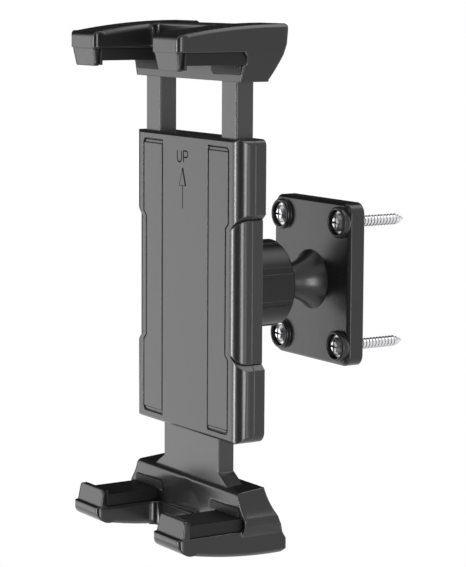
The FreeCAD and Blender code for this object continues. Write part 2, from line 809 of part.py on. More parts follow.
def arm_outline(front, corner):
    """Side outline of an arm from its front to the back of the head. Upper version."""
    under = grip_z + arm_under
    rise = grip_z + claw_rise
    bow_y = (front + head_rear) / 2
    bow_z = rise + claw_bow * (crown_z - rise)
    cut = corner * (1 - math.sqrt(0.5))
    return [(front, under), (front, rise - corner), ("via", front + cut, rise - cut),
            (front + corner, rise), ("via", bow_y, bow_z), (head_rear - arm_bevel, crown_z),
            (head_rear, crown_z - arm_bevel)]


def bowed(start, end, bow):
    """The middle of an arc between two points, on the left of the way from start to end."""
    across = end[0] - start[0]
    along = end[1] - start[1]
    chord = math.hypot(across, along)
    return ("via", (start[0] + end[0]) / 2 - bow * along / chord,
            (start[1] + end[1]) / 2 + bow * across / chord)


def head_outline(front):
    """Side outline of the upper head with its arms."""
    low = grip_z - head_end
    slant_y = head_rear - head_back_slant
    slant_z = grip_z - head_slant_low
    back_z = grip_z + head_back_rise
    back = (head_rear, back_z)
    slant = (slant_y, slant_z)
    return arm_outline(front, head_front_round) + [
        back, bowed(back, slant, head_back_bow), slant, (slant_y, low), (head_face, low),
        (head_face, grip_z + arm_under)]


def foot_outline(front):
    """Side outline of the lower foot with its arms, drawn upside down."""
    low = grip_z - foot_end
    back = (head_rear, grip_z + foot_back_rise)
    slant = (head_rear - foot_back_slant, low - foot_top_slope)
    return arm_outline(front, foot_front_round) + [
        back, bowed(back, slant, -foot_back_bow), slant,
        (head_face + foot_top_bevel, low), (head_face, low + foot_top_bevel),
        (head_face, grip_z + arm_under)]


def head_front_outline():
    """Front outline of the upper head: its cheeks slope inwards towards the housing."""
    low = grip_z - head_end
    knee = grip_z + cheek_taper_rise
    return [(cheek_taper - arm_outer, low), (arm_outer - cheek_taper, low), (arm_outer, knee),
            (arm_outer, crown_z + 1), (-arm_outer, crown_z + 1), (-arm_outer, knee)]


def foot_front_outline():
    """Front outline of the lower foot, upside down: widest beside the gripped edge."""
    low = grip_z - foot_end - foot_top_slope
    wide = grip_z + foot_wide_rise
    narrow = grip_z + foot_narrow_rise
    top = (foot_top_half, low)
    side = (foot_wide_half, grip_z)
    hollow = bowed(top, side, foot_side_bow)
    return [(-foot_top_half, low), top, hollow, side, (foot_wide_half, wide),
            (arm_outer, narrow), (arm_outer, crown_z + 1), (-arm_outer, crown_z + 1),
            (-arm_outer, narrow), (-foot_wide_half, wide), (-foot_wide_half, grip_z),
            ("via", -hollow[1], hollow[2])]


def claw_block(front, lip, outline, front_outline, half_width):
    """One moulding: two arms with lips, and the head that joins them. Upper version."""
    low = grip_z - foot_end - 2 * foot_top_slope
    seen = prism("y", front_outline, front - 1, head_rear + 1)
    arm_plan = prism("z", [(arm_inner, front, arm_side_round), (arm_outer, front, arm_side_round),
                           (arm_outer, head_rear), (arm_inner, head_rear)], low, crown_z + 1)
    arm = bevel_top_edges(prism("x", outline, arm_inner, arm_outer)).common(arm_plan).common(seen)
    body = prism("x", outline, -half_width, half_width).common(seen)
    gap_end = head_face - gap_cover
    gap = prism("z", [(-arm_inner, front - 1), (arm_inner, front - 1),
                      (arm_inner, gap_end, gap_round), (-arm_inner, gap_end, gap_round)],
                low, crown_z + 1)
    beside = prism("z", [(arm_inner, front - 1), (half_width + 1, front - 1),
                         (half_width + 1, head_face), (arm_inner, head_face)],
                   low, crown_z + 1)
    dip = box((-half_width - 1, half_width + 1), (head_face - 2, head_rear + 1),
              (crown_z - bridge_dip, crown_z + 1))
    shoulder = box((arm_inner + arm_bevel, half_width + 1), (front - 1, head_rear + 1),
                   (grip_z + foot_narrow_rise, crown_z + 1))
    body = body.cut(gap).cut(both_sides(beside.fuse(shoulder))).cut(dip)
    plan = prism("z", back_plan(front, half_width), low, crown_z + 1)
    block = body.fuse(both_sides(arm)).common(plan)
    return block.fuse(both_sides(lip))


def back_plan(front, half_width):
    """Outline from above, with small bevels on the head's back corners."""
    bevel = arm_bevel
    side = half_width
    return [(-side, front), (side, front), (side, head_rear - bevel),
            (side - bevel, head_rear), (bevel - side, head_rear), (-side, head_rear - bevel)]


def bevel_top_edges(arm):
    """The sloped strips along an arm's long top edges, both sides."""
    chosen = []
    for edge in arm.Edges:
        xs = [vertex.X for vertex in edge.Vertexes]
        ys = [vertex.Y for vertex in edge.Vertexes]
        zs = [vertex.Z for vertex in edge.Vertexes]
        along_side = max(xs) - min(xs) < 1e-6
        if along_side and min(zs) > grip_z + claw_rise - 0.01:
            if max(ys) - min(ys) > head_back:
                chosen.append(edge)
    return arm.makeChamfer(arm_bevel, chosen)


def make_lip(lip_front, root_width, tip_width, tip_round):
    """Right lip: a tapered tongue that leans back over the gripped edge."""
    root_z = grip_z + arm_under + lip_root_sink
    tip_z = grip_z - lip_overlap
    rear = lip_front + lip_thick
    x = claw_centre_x
    root = root_width / 2
    tip = tip_width / 2
    front_view = prism("y", [(x - root, root_z), (x - tip, tip_z, tip_round),
                             (x + tip, tip_z, tip_round), (x + root, root_z)],
                       lip_front - 1, rear + 1)
    side_view = prism("x", [(lip_front, root_z), (lip_front + lip_lean, tip_z),
                            (rear, tip_z), (rear, root_z)], x - root, x + root)
    return front_view.common(side_view)


def liner_section(lip_front):
    """Side outline of the rubber in one claw: behind the lip and along the arm."""
    front = lip_front + lip_thick
    under = grip_z + arm_under
    drop = grip_z - lip_overlap + liner_lip_gap
    lip_rear = front + liner_lip_thick
    return [(front, under), (front, drop), (lip_rear, drop), (lip_rear, grip_z),
            (head_face + liner_bite, grip_z), (head_face + liner_bite, under, liner_round)]


def make_liner(lip_front):
    """Right-hand rubber liner of a claw. Upper version."""
    half = claw_width / 2 - liner_inset
    return prism("x", liner_section(lip_front), claw_centre_x - half, claw_centre_x + half)


def liner_pocket():
    """What the liner takes out of the head's face."""
    half = claw_width / 2
    under = grip_z + arm_under
    back = head_face + liner_bite
    return prism("x", [(head_face - 1, grip_z), (back, grip_z), (back, under, liner_round),
                       (head_face - 1, under)], claw_centre_x - half, arm_outer + 1)


def make_face_pad():
    """Right-hand ribbed pad on the head's or foot's front face. Upper version."""
    half = pad_width / 2
    low = grip_z - pad_rise
    x = pad_centre_x
    pad = prism("y", [(x - half, grip_z - seat_gap), (x + half, grip_z - seat_gap),
                      (x + half, low, pad_corner), (x - half, low, pad_corner)],
                head_face - pad_thick / 2, head_face + pad_thick / 2)
    rib_pitch = pad_width / pad_ribs
    half_notch = pad_rib_width / 2
    for i in range(1, pad_ribs):
        rib_x = x - half + i * rib_pitch
        notch = prism("z", [(rib_x - half_notch, head_face - pad_thick),
                            (rib_x + half_notch, head_face - pad_thick), (rib_x, head_face)],
                      grip_z - pad_rib_rise, grip_z + 1)
        pad = pad.cut(notch)
    return pad


def pad_pocket():
    half = pad_width / 2
    low = grip_z - pad_rise
    x = pad_centre_x
    return prism("y", [(x - half, grip_z), (x + half, grip_z), (x + half, low, pad_corner),
                       (x - half, low, pad_corner)],
                 head_face - pad_thick, head_face + pad_thick / 2)


def post_seat():
    """The room of the right post in the head."""
    return box((post_inner - seat_gap, post_outer + seat_gap),
               (post_front - seat_gap, post_rear + seat_gap), (0, seat_depth + seat_gap))


def upside_down(shape):
    """The lower claws are the upper ones turned over about the housing's centre plane."""
    return shape.mirror(V(0, 0, 0), V(0, 0, 1))


def make_top_head():
    """Upper claw head on the two posts."""
    nose = head_lip_front - head_nose
    lip = make_lip(head_lip_front, head_lip_root, head_lip_tip, head_lip_round)
    head = claw_block(nose, lip, head_outline(nose), head_front_outline(), arm_outer)
    head = head.cut(both_sides(post_seat().fuse(liner_pocket()).fuse(pad_pocket())))
    head = head.cut(head_screw_hole(post_centre_x, grip_z))
    return head.cut(head_screw_hole(-post_centre_x, grip_z)).removeSplitter()


def make_bottom_foot():
    """Lower claw foot at the end of the bar."""
    nose = foot_lip_front - foot_nose
    lip = make_lip(foot_lip_front, foot_lip_root, foot_lip_tip, foot_lip_round)
    foot = claw_block(nose, lip, foot_outline(nose), foot_front_outline(), foot_wide_half)
    foot = foot.cut(both_sides(liner_pocket().fuse(pad_pocket()))).cut(face_scoop())
    foot = upside_down(foot)
    half = bar_width / 2 + seat_gap
    wide = half + flare_width
    foot_top = -grip_z + foot_end
    above = foot_top + 2 * foot_top_slope
    depth = (bar_front - seat_gap, bar_rear + seat_gap)
    seat = box((-half, half), depth, (-seat_depth - seat_gap, above))
    flare_seat = box((-wide, wide), depth, (foot_top - flare_root - seat_gap, above))
    foot = foot.cut(seat).cut(flare_seat).cut(head_screw_hole(foot_screw_x, -grip_z))
    return foot.cut(head_screw_hole(-foot_screw_x, -grip_z)).removeSplitter()


def face_scoop():
    """A shallow hollow in the middle of the foot's face, wider and deeper towards the claws."""
    low = grip_z - foot_end
    high = grip_z + arm_under
    hollow = Part.makeCone(scoop_reach, scoop_reach + scoop_depth, high - low,
                           V(0, head_face - scoop_reach, low), V(0, 0, 1))
    return hollow.common(box((-arm_inner, arm_inner), (head_face - 1, head_face + scoop_depth + 1),
                             (low, high)))


def make_head_screws(x, z):
    screws = [make_screw(head_screw_top(), head_screw_dia, head_screw_head_dia,
                         head_screw_reach(), sx * x, z) for sx in (-1, 1)]
    return Part.makeCompound(screws)


def write(name, shape, raised=True):
    """One file for each node. Pieces of the holder are drawn about the housing's centre."""
    if raised:
        shape = shape.copy()
        shape.translate(V(0, 0, holder_z))
    shape.exportStep("parts/" + name + ".step")


def write_pair(name, shape):
    """A right-hand piece and its mirror image."""
    write(name + "_right", shape)
    write(name + "_left", mirrored(shape))


def main():
    os.makedirs("parts", exist_ok=True)
    write("ball_plate", make_ball_plate(), False)
    write("wall_screws", make_wall_screws(), False)
    write("friction_pad", make_friction_pad(), False)
    write("clamp_ring", make_clamp_ring(), False)
    write("lock_nut", make_lock_nut(), False)
    write("front_shell", make_front_shell())
    write("rear_cover", make_rear_cover())
    write("cover_screws", make_cover_screws())
    write_pair("grip_strip", make_grip_strip())
    write_pair("top_post", make_top_post())
    write("bottom_bar", make_bottom_bar())
    write_pair("pinion", make_gear())
    write("gear_pins", make_gear_pins())
    write_pair("spring", make_spring())
    write("spring_pins", make_pin_pair(spring_top_z))
    write("bar_spring_pins", make_pin_pair(spring_low_z))
    write("top_head", make_top_head())
    write("head_screws", make_head_screws(post_centre_x, grip_z))
    write_pair("top_liner", make_liner(head_lip_front).cut(post_seat()))
    write_pair("head_pad", make_face_pad())
    write("bottom_foot", make_bottom_foot())
    write("foot_screws", make_head_screws(foot_screw_x, -grip_z))
    write_pair("bottom_liner", upside_down(make_liner(foot_lip_front)))
    write_pair("foot_pad", upside_down(make_face_pad()))


main()
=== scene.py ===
import math

import bmesh
import bpy
from mathutils import Matrix, Vector


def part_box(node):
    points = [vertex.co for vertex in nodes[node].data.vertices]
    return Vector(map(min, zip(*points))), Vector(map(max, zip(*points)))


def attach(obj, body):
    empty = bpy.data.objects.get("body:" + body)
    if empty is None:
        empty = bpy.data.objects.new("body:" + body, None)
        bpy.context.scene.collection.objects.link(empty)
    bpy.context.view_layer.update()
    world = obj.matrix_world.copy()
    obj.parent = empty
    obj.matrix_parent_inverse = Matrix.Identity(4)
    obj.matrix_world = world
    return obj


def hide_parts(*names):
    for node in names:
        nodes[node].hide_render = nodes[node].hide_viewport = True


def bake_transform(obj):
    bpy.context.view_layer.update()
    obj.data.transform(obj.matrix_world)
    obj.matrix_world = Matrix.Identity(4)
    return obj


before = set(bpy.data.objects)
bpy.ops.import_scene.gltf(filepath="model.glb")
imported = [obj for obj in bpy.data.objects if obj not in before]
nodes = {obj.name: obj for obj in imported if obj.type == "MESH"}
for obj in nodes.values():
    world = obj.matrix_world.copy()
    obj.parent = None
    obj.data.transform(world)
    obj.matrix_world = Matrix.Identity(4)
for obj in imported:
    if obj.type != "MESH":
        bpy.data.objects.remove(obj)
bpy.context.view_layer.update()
scene = bpy.context.scene
MM = 0.001
BLACK = (0.0, 0.0, 0.0)
WHITE = (1.0, 1.0, 1.0, 1.0)


# ---------- materials ----------

# Cells of noise per metre
CLOUD_CELLS = 55.0
GLOSS_CELLS = 240.0
SPECK_CELLS = 900.0
BRUSH_CELLS = 1500.0
GRAIN_CELLS = 2600.0

GRAIN = 0.008 * MM            # height of the fine grain
EDGE_HIGHLIGHT_RADIUS = 0.5             # millimetres, width of the painted highlight along an edge
# How much the painted edge highlight lightens the colour
EDGE_HIGHLIGHT_GAIN, EDGE_HIGHLIGHT_LIFT = 1.5, 0.13
SPECK_GAIN, SPECK_LIFT = 1.3, 0.003
SPECK_FROM, SPECK_TO = 0.56, 0.74      # range of the noise over which specks appear
GLOSS_LOW, GLOSS_HIGH = 0.94, 1.07      # times the roughness

# The rounded normal's dot product with the flat one: 1 on a flat face, less near an edge
# Range over which the painted edge highlight fades in
EDGE_HIGHLIGHT_FROM, EDGE_HIGHLIGHT_TO = 0.80, 0.985
# Range over which the painted shade along the grip strips' edges fades in
EDGE_SHADE_FROM, EDGE_SHADE_TO = 0.86, 0.99
CREVICE_SHADE_FROM, CREVICE_SHADE_TO = 0.25, 0.75     # share of the sky seen, over which the painted shade in crevices fades
SHADE_SAMPLES = 8


def put(tree, kind, **settings):
    """A new shader node. Settings whose names are sockets set those sockets."""
    node = tree.nodes.new("ShaderNode" + kind)
    for key, value in settings.items():
        if hasattr(node, key):
            setattr(node, key, value)
        else:
            node.inputs[key.replace("_", " ")].default_value = value
    return node


def noise(tree, where, scale, detail, roughness):
    """Noise over the given coordinates, with scale in cells per metre."""
    node = put(tree, "TexNoise", Scale=scale, Detail=detail, Roughness=roughness)
    tree.links.new(where, node.inputs["Vector"])
    return node.outputs["Fac"]


def spread(tree, value, low, high, from_low=0.3, from_high=0.7):
    """The value stretched to the range from low to high."""
    node = put(tree, "MapRange")
    for name, number in (("From Min", from_low), ("From Max", from_high),
                         ("To Min", low), ("To Max", high)):
        node.inputs[name].default_value = number
    tree.links.new(value, node.inputs["Value"])
    return node.outputs["Result"]


def mixed(tree, factor, first, second):
    """A colour between two, each of them a colour or a colour output."""
    node = put(tree, "Mix", data_type="RGBA")
    tree.links.new(factor, node.inputs["Factor"])
    for name, colour in (("A", first), ("B", second)):
        socket = [s for s in node.inputs if s.name == name and s.type == "RGBA"][0]
        if isinstance(colour, tuple):
            socket.default_value = (*colour, 1.0)
        else:
            tree.links.new(colour, socket)
    return [s for s in node.outputs if s.type == "RGBA"][0]


def larger(tree, first, second):
    """The larger of two values."""
    node = put(tree, "Math", operation="MAXIMUM")
    tree.links.new(first, node.inputs[0])
    tree.links.new(second, node.inputs[1])
    return node.outputs["Value"]


def scaled(colour, gain, lift=0.0):
    """A colour times gain plus lift, at most 1."""
    return tuple(min(1.0, c * gain + lift) for c in colour)


def finish(name, colour, rough, specular=0.5, metal=0.0, grain=GRAIN, grain_cells=GRAIN_CELLS,
           cloud=0.05, soft=0.0, edge_highlight=0.55, edge_shade=0.0, crevice_shade=0.0, brushed=None,
           edge_samples=16):
    """A moulded, rubber or metal finish: fine grain, faint clouding in its colour and gloss, a
    painted highlight or painted shade along its edges, painted shade in crevices, and for metal
    fine marks drawn along one direction. The radius of the edges and the reach of the painted
    shade in crevices are in millimetres."""
    material = bpy.data.materials.new(name)
    material.use_nodes = True
    tree = material.node_tree
    shader = tree.nodes["Principled BSDF"]
    where = put(tree, "TexCoord").outputs["Object"]
    shader.inputs["Metallic"].default_value = metal
    shader.inputs["Specular IOR Level"].default_value = specular

    clouds = noise(tree, where, CLOUD_CELLS, detail=5.0, roughness=0.6)
    base = mixed(tree, spread(tree, clouds, 0.0, 1.0),
                 scaled(colour, 1.0 - cloud), scaled(colour, 1.0 + cloud))
    specks = noise(tree, where, SPECK_CELLS, detail=6.0, roughness=0.7)
    base = mixed(tree, spread(tree, specks, 0.0, 0.5, SPECK_FROM, SPECK_TO),
                 base, scaled(colour, SPECK_GAIN, SPECK_LIFT))

    gloss = noise(tree, where, GLOSS_CELLS, detail=6.0, roughness=0.6)
    gloss = spread(tree, gloss, rough * GLOSS_LOW, min(1.0, rough * GLOSS_HIGH))

    if brushed is None:
        height = noise(tree, where, grain_cells, detail=4.0, roughness=0.65)
    else:
        stretch = put(tree, "Mapping")
        stretch.inputs["Scale"].default_value = brushed
        tree.links.new(where, stretch.inputs["Vector"])
        height = noise(tree, stretch.outputs["Vector"], BRUSH_CELLS, detail=5.0, roughness=0.7)
    bump = put(tree, "Bump", Strength=1.0, Distance=grain)
    tree.links.new(height, bump.inputs["Height"])
    tree.links.new(bump.outputs["Normal"], shader.inputs["Normal"])

    shade = None
    if soft > 0.0:
        rounded = put(tree, "Bevel", samples=edge_samples, Radius=soft * MM)
        tree.links.new(rounded.outputs["Normal"], bump.inputs["Normal"])
        rim_radius = soft if edge_shade > 0.0 else EDGE_HIGHLIGHT_RADIUS
        rim = put(tree, "Bevel", samples=SHADE_SAMPLES, Radius=rim_radius * MM)
        plain = put(tree, "NewGeometry")
        across = put(tree, "VectorMath", operation="DOT_PRODUCT")
        tree.links.new(rim.outputs["Normal"], across.inputs[0])
        tree.links.new(plain.outputs["True Normal"], across.inputs[1])
        turned = across.outputs["Value"]
        # Painted highlight: the colour is lighter near edges, standing in for the light that
        # rounded edges catch
        base = mixed(tree, spread(tree, turned, edge_highlight, 0.0, EDGE_HIGHLIGHT_FROM, EDGE_HIGHLIGHT_TO),
                     base, scaled(colour, EDGE_HIGHLIGHT_GAIN, EDGE_HIGHLIGHT_LIFT))
        # Painted shade: the edges are darkened towards black, standing in for the shadow in the
        # groove round a grip strip
        if edge_shade > 0.0:
            shade = spread(tree, turned, edge_shade, 0.0, EDGE_SHADE_FROM, EDGE_SHADE_TO)

    # Painted shade: crevices darkened towards black, and made rougher, by how little of the sky
    # they see
    if crevice_shade > 0.0:
        open_sky = put(tree, "AmbientOcclusion", samples=SHADE_SAMPLES, Distance=crevice_shade * MM)
        crevice_shade_mask = spread(tree, open_sky.outputs["AO"], 1.0, 0.0, CREVICE_SHADE_FROM, CREVICE_SHADE_TO)
        shade = crevice_shade_mask if shade is None else larger(tree, shade, crevice_shade_mask)
        base = mixed(tree, shade, base, BLACK)
        gloss = larger(tree, shade, gloss)
    tree.links.new(base, shader.inputs["Base Color"])
    tree.links.new(gloss, shader.inputs["Roughness"])
    return material


finishes = {
    "plate_plastic": finish("plate_finish", (0.018, 0.018, 0.019), 0.26, specular=0.42,
                            soft=0.6, crevice_shade=1.0),
    "shell_plastic": finish("shell_finish", (0.018, 0.018, 0.0185), 0.22, soft=0.45,
                            crevice_shade=1.2),
    "cover_plastic": finish("cover_finish", (0.018, 0.018, 0.0185), 0.24, soft=0.6,
                            crevice_shade=1.2),
    "claw_plastic": finish("claw_finish", (0.015, 0.015, 0.0155), 0.20, specular=0.45,
                           soft=1.5, crevice_shade=1.2, edge_samples=64),
    "slide_plastic": finish("slide_finish", (0.034, 0.034, 0.035), 0.24, soft=0.6,
                            crevice_shade=1.0),
    "nut_plastic": finish("nut_finish", (0.012, 0.012, 0.0125), 0.30, specular=0.25,
                          soft=0.5, crevice_shade=0.8),
    "inner_plastic": finish("inner_finish", (0.55, 0.55, 0.53), 0.42),
    "strip_rubber": finish("strip_finish", (0.020, 0.020, 0.0205), 0.24, grain_cells=2100.0,
                           soft=0.8, edge_highlight=0.0, edge_shade=1.0, crevice_shade=1.5),
    "liner_rubber": finish("liner_finish", (0.010, 0.010, 0.0105), 0.5, specular=0.2,
                           grain=0.03 * MM, grain_cells=1900.0, soft=0.5, crevice_shade=1.5),
    "screw_metal": finish("screw_finish", (0.70, 0.70, 0.72), 0.34, metal=1.0,
                          grain=0.002 * MM, cloud=0.03, crevice_shade=1.3, brushed=(1.0, 0.15, 1.0)),
    "dark_screw": finish("dark_screw_finish", (0.05, 0.05, 0.052), 0.34, metal=0.6,
                         grain=0.006 * MM, crevice_shade=0.5),
    "spring_steel": finish("spring_finish", (0.50, 0.50, 0.51), 0.28, metal=1.0,
                           grain=0.006 * MM),
}

for node in nodes.values():
    for place in node.material_slots:
        slot_name = place.material.name
        if slot_name in finishes:
            place.material = finishes[slot_name]


# ---------- rounded edges of the moulded nodes ----------

WELD_REACH = 0.002 * MM
FLAT_ANGLE = math.radians(0.5)
SHARP_ANGLE = math.radians(32.0)
ROUND_STEPS = 2
FACE_WEIGHT = 60

# Largest radius in millimetres
ROUNDED = {
    "ball_plate": 0.35, "front_shell": 0.30, "rear_cover": 0.35, "lock_nut": 0.30,
    "grip_strip_left": 0.25, "grip_strip_right": 0.25,
    "top_post_left": 0.30, "top_post_right": 0.30, "bottom_bar": 0.30,
    "top_head": 0.35, "bottom_foot": 0.35,
    "top_liner_left": 0.20, "top_liner_right": 0.20,
    "bottom_liner_left": 0.20, "bottom_liner_right": 0.20,
    "head_pad_left": 0.12, "head_pad_right": 0.12,
    "foot_pad_left": 0.12, "foot_pad_right": 0.12,
}


def round_edges(node, radius):
    """Rounds a node's sharp edges, and leaves its own mesh as it is."""
    weld = node.modifiers.new("weld", "WELD")
    weld.merge_threshold = WELD_REACH
    flat = node.modifiers.new("flat", "DECIMATE")
    flat.decimate_type = "DISSOLVE"
    flat.angle_limit = FLAT_ANGLE
    bevel = node.modifiers.new("bevel", "BEVEL")
    bevel.width = radius * MM
    bevel.segments = ROUND_STEPS
    bevel.limit_method = "ANGLE"
    bevel.angle_limit = SHARP_ANGLE
    bevel.use_clamp_overlap = True
    bevel.miter_outer = "MITER_ARC"
    even = node.modifiers.new("even", "WEIGHTED_NORMAL")
    even.weight = FACE_WEIGHT


for name, radius in ROUNDED.items():
    round_edges(nodes[name], radius)


# ---------- helpers for the scene's own objects ----------

def add_object(name, mesh, material):
    """A new object with a mesh and its one material."""
    mesh.materials.append(material)
    made = bpy.data.objects.new(name, mesh)
    scene.collection.objects.link(made)
    return made


def mesh_from(form, name):
    """A mesh from a bmesh, with its faces turned outwards."""
    bmesh.ops.recalc_face_normals(form, faces=form.faces)
    mesh = bpy.data.meshes.new(name)
    form.to_mesh(mesh)
    form.free()
    return mesh


def rectangle(name, half_width, half_height, z=0.0):
    """A flat rectangular mesh round the Z axis."""
    mesh = bpy.data.meshes.new(name)
    mesh.from_pydata([(x * half_width, y * half_height, z)
                      for x, y in ((-1, -1), (1, -1), (1, 1), (-1, 1))], [], [(0, 1, 2, 3)])
    return mesh


# ---------- printed marks on the housing's front, in millimetres ----------

MARK_THICKNESS = 0.03
MARK_LIFT = 0.01
MITRE_LIMIT = 0.35            # keeps the outer corner of a sharp turn near its path


def strokes(name, paths, front, material, body):
    """Thin flat strokes just proud of the front. Each is a width and its path of X, Z points,
    in millimetres, and front is their Y, in metres."""
    form = bmesh.new()
    for width, path in paths:
        points = [Vector(p) for p in path]
        last = len(points) - 1
        previous = None
        for i, point in enumerate(points):
            before = points[max(i - 1, 0)]
            after = points[min(i + 1, last)]
            into = (point - before).normalized() if before != point else None
            out = (after - point).normalized() if after != point else None
            into = into or out
            out = out or into
            along = (into + out).normalized()
            side = Vector((-along.y, along.x))
            reach = width / 2 / max(MITRE_LIMIT, along.dot(into))
            pair = [form.verts.new((spot.x * MM, front, spot.y * MM))
                    for spot in (point + side * reach, point - side * reach)]
            if previous is not None:
                form.faces.new((previous[0], previous[1], pair[1], pair[0]))
            previous = pair
    piece = add_object(name, mesh_from(form, name), material)
    thick = piece.modifiers.new("thick", "SOLIDIFY")
    thick.thickness = MARK_THICKNESS * MM
    thick.offset = 0.0
    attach(piece, body)


def arc(centre_x, centre_z, radius, start, end, steps=12):
    """Points on an arc, with its angles in degrees from +X towards +Z."""
    turns = [math.radians(start + (end - start) * i / steps) for i in range(steps + 1)]
    return [(centre_x + radius * math.cos(t), centre_z + radius * math.sin(t)) for t in turns]


mark_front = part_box("front_shell")[0].y - MARK_LIFT * MM
mark_ink = finish("mark_finish", (0.006, 0.006, 0.006), 0.75, specular=0.1)

MARK_X = -1.8
LETTER_TOP = 55.9
LETTER_HEIGHT = 4.6
LETTER_WIDTH = 3.3
LETTER_GAP = 1.5
LETTER_STROKE = 0.62
P_BOWL = 0.28                 # radius of its bowl, as a share of the height
letter_base = LETTER_TOP - LETTER_HEIGHT
u_left = MARK_X - LETTER_GAP / 2 - LETTER_WIDTH
u_right = MARK_X - LETTER_GAP / 2
u_bowl = LETTER_WIDTH / 2
letter_u = ([(u_left, LETTER_TOP)]
            + arc(u_left + u_bowl, letter_base + u_bowl, u_bowl, 180, 360)
            + [(u_right, LETTER_TOP)])
p_left = MARK_X + LETTER_GAP / 2
p_bowl = LETTER_HEIGHT * P_BOWL
p_straight = LETTER_WIDTH - p_bowl
letter_p = ([(p_left, letter_base), (p_left, LETTER_TOP), (p_left + p_straight, LETTER_TOP)]
            + arc(p_left + p_straight, LETTER_TOP - p_bowl, p_bowl, 90, -90)
            + [(p_left, LETTER_TOP - 2 * p_bowl)])
strokes("mark_up", [(LETTER_STROKE, letter_u), (LETTER_STROKE, letter_p)], mark_front, mark_ink,
        "housing")

ARROW_TOP = 49.0
ARROW_HEAD = 7.2
ARROW_HALF = 2.4
ARROW_END = 32.6
SHAFT_OFFSET = 0.1
RIGHT_BARB, LEFT_BARB, BARB_BASE, SHAFT = 1.05, 0.30, 0.25, 0.45    # widths of the strokes
arrow_base = ARROW_TOP - ARROW_HEAD
shaft_x = MARK_X + SHAFT_OFFSET
arrow_tip = (MARK_X, ARROW_TOP)
arrow_left = (MARK_X - ARROW_HALF, arrow_base)
arrow_right = (MARK_X + ARROW_HALF, arrow_base)
strokes("mark_arrow", [(RIGHT_BARB, [arrow_tip, arrow_right]),
                       (LEFT_BARB, [arrow_tip, arrow_left]),
                       (BARB_BASE, [arrow_left, arrow_right]),
                       (SHAFT, [(shaft_x, arrow_base), (shaft_x, ARROW_END)])],
        mark_front, mark_ink, "housing")


# ---------- threads on the wall screws, in millimetres ----------

SCREW_X = 20.65
SCREW_Z = 25.7
THREAD_START, THREAD_END = 0.8, 24.2
THREAD_PITCH = 1.6
THREAD_STEPS = 20             # to a turn
THREAD_RUNOUT = 10            # steps over which it rises at each end
THREAD_RISE = 0.32
THREAD_FOOT, THREAD_CREST = 0.34, 0.04      # half widths
THREAD_SINK = -0.05           # how deep its foot goes into the shank
SHANK_RADIUS = 2.0
TAPER_START, TAPER_END, TIP_RADIUS = 20.7, 24.7, 0.4


def shank_radius(y):
    """The wall screw's radius at a depth in the wall."""
    share = max(0.0, (y - TAPER_START) / (TAPER_END - TAPER_START))
    return SHANK_RADIUS + (TIP_RADIUS - SHANK_RADIUS) * share


form = bmesh.new()
thread_steps = int((THREAD_END - THREAD_START) / THREAD_PITCH * THREAD_STEPS)
for x, z in ((-SCREW_X, -SCREW_Z), (SCREW_X, -SCREW_Z), (-SCREW_X, SCREW_Z), (SCREW_X, SCREW_Z)):
    previous = None
    for i in range(thread_steps + 1):
        y = THREAD_START + THREAD_PITCH * i / THREAD_STEPS
        turn = 2 * math.pi * i / THREAD_STEPS
        rise = THREAD_RISE * min(1.0, i / THREAD_RUNOUT, (thread_steps - i) / THREAD_RUNOUT)
        ring = []
        for across, height in ((-THREAD_FOOT, THREAD_SINK), (-THREAD_CREST, rise),
                               (THREAD_CREST, rise), (THREAD_FOOT, THREAD_SINK)):
            radius = shank_radius(y + across) + height
            ring.append(form.verts.new(((x + radius * math.cos(turn)) * MM, (y + across) * MM,
                                        (z + radius * math.sin(turn)) * MM)))
        if previous is not None:
            for k in range(len(ring) - 1):
                form.faces.new((previous[k], previous[k + 1], ring[k + 1], ring[k]))
        previous = ring
threads = add_object("wall_screw_threads", mesh_from(form, "wall_screw_threads"),
                     finishes["screw_metal"])
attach(threads, "wall_side")


# ---------- springs of wire, in millimetres ----------------------------------------------

WIRE_RADIUS = 0.4
WIRE_SIDES = 8
COIL_RADIUS = 2.1
COIL_TURNS = 36
COIL_STEPS = 16               # to a turn
COIL_ENTRY = 12               # steps over which the coil opens from the eye's lead
COIL_ENTRY_SHARE = 0.35       # of the coil's radius, where it starts to open
EYE_RADIUS = 1.7
EYE_STEPS = 12
EYE_TURN = 300                # degrees of wire round an eye
LOW_EYE_START, HIGH_EYE_START = -60, -120
EYE_LEAD = 0.6                # between an eye and the coil


def eye(height, start):
    """An eye's points round the height of its pin, from a start angle in degrees."""
    turns = [math.radians(start + EYE_TURN * i / EYE_STEPS) for i in range(EYE_STEPS + 1)]
    return [(0.0, EYE_RADIUS * math.cos(t), height + EYE_RADIUS * math.sin(t)) for t in turns]


def spring_path(low, high):
    """Points along a spring's wire: an eye, a short lead, the coil, a lead and an eye."""
    points = eye(low, LOW_EYE_START)
    points.reverse()
    start = low + EYE_RADIUS + EYE_LEAD
    end = high - EYE_RADIUS - EYE_LEAD
    steps = COIL_TURNS * COIL_STEPS
    for i in range(steps + 1):
        t = 2 * math.pi * i / COIL_STEPS
        opened = min(1.0, COIL_ENTRY_SHARE + i / COIL_ENTRY,
                     COIL_ENTRY_SHARE + (steps - i) / COIL_ENTRY)
        radius = COIL_RADIUS * opened
        points.append((radius * math.sin(t), radius * math.cos(t),
                       start + (end - start) * i / steps))
    return [Vector(p) for p in points + eye(high, HIGH_EYE_START)]


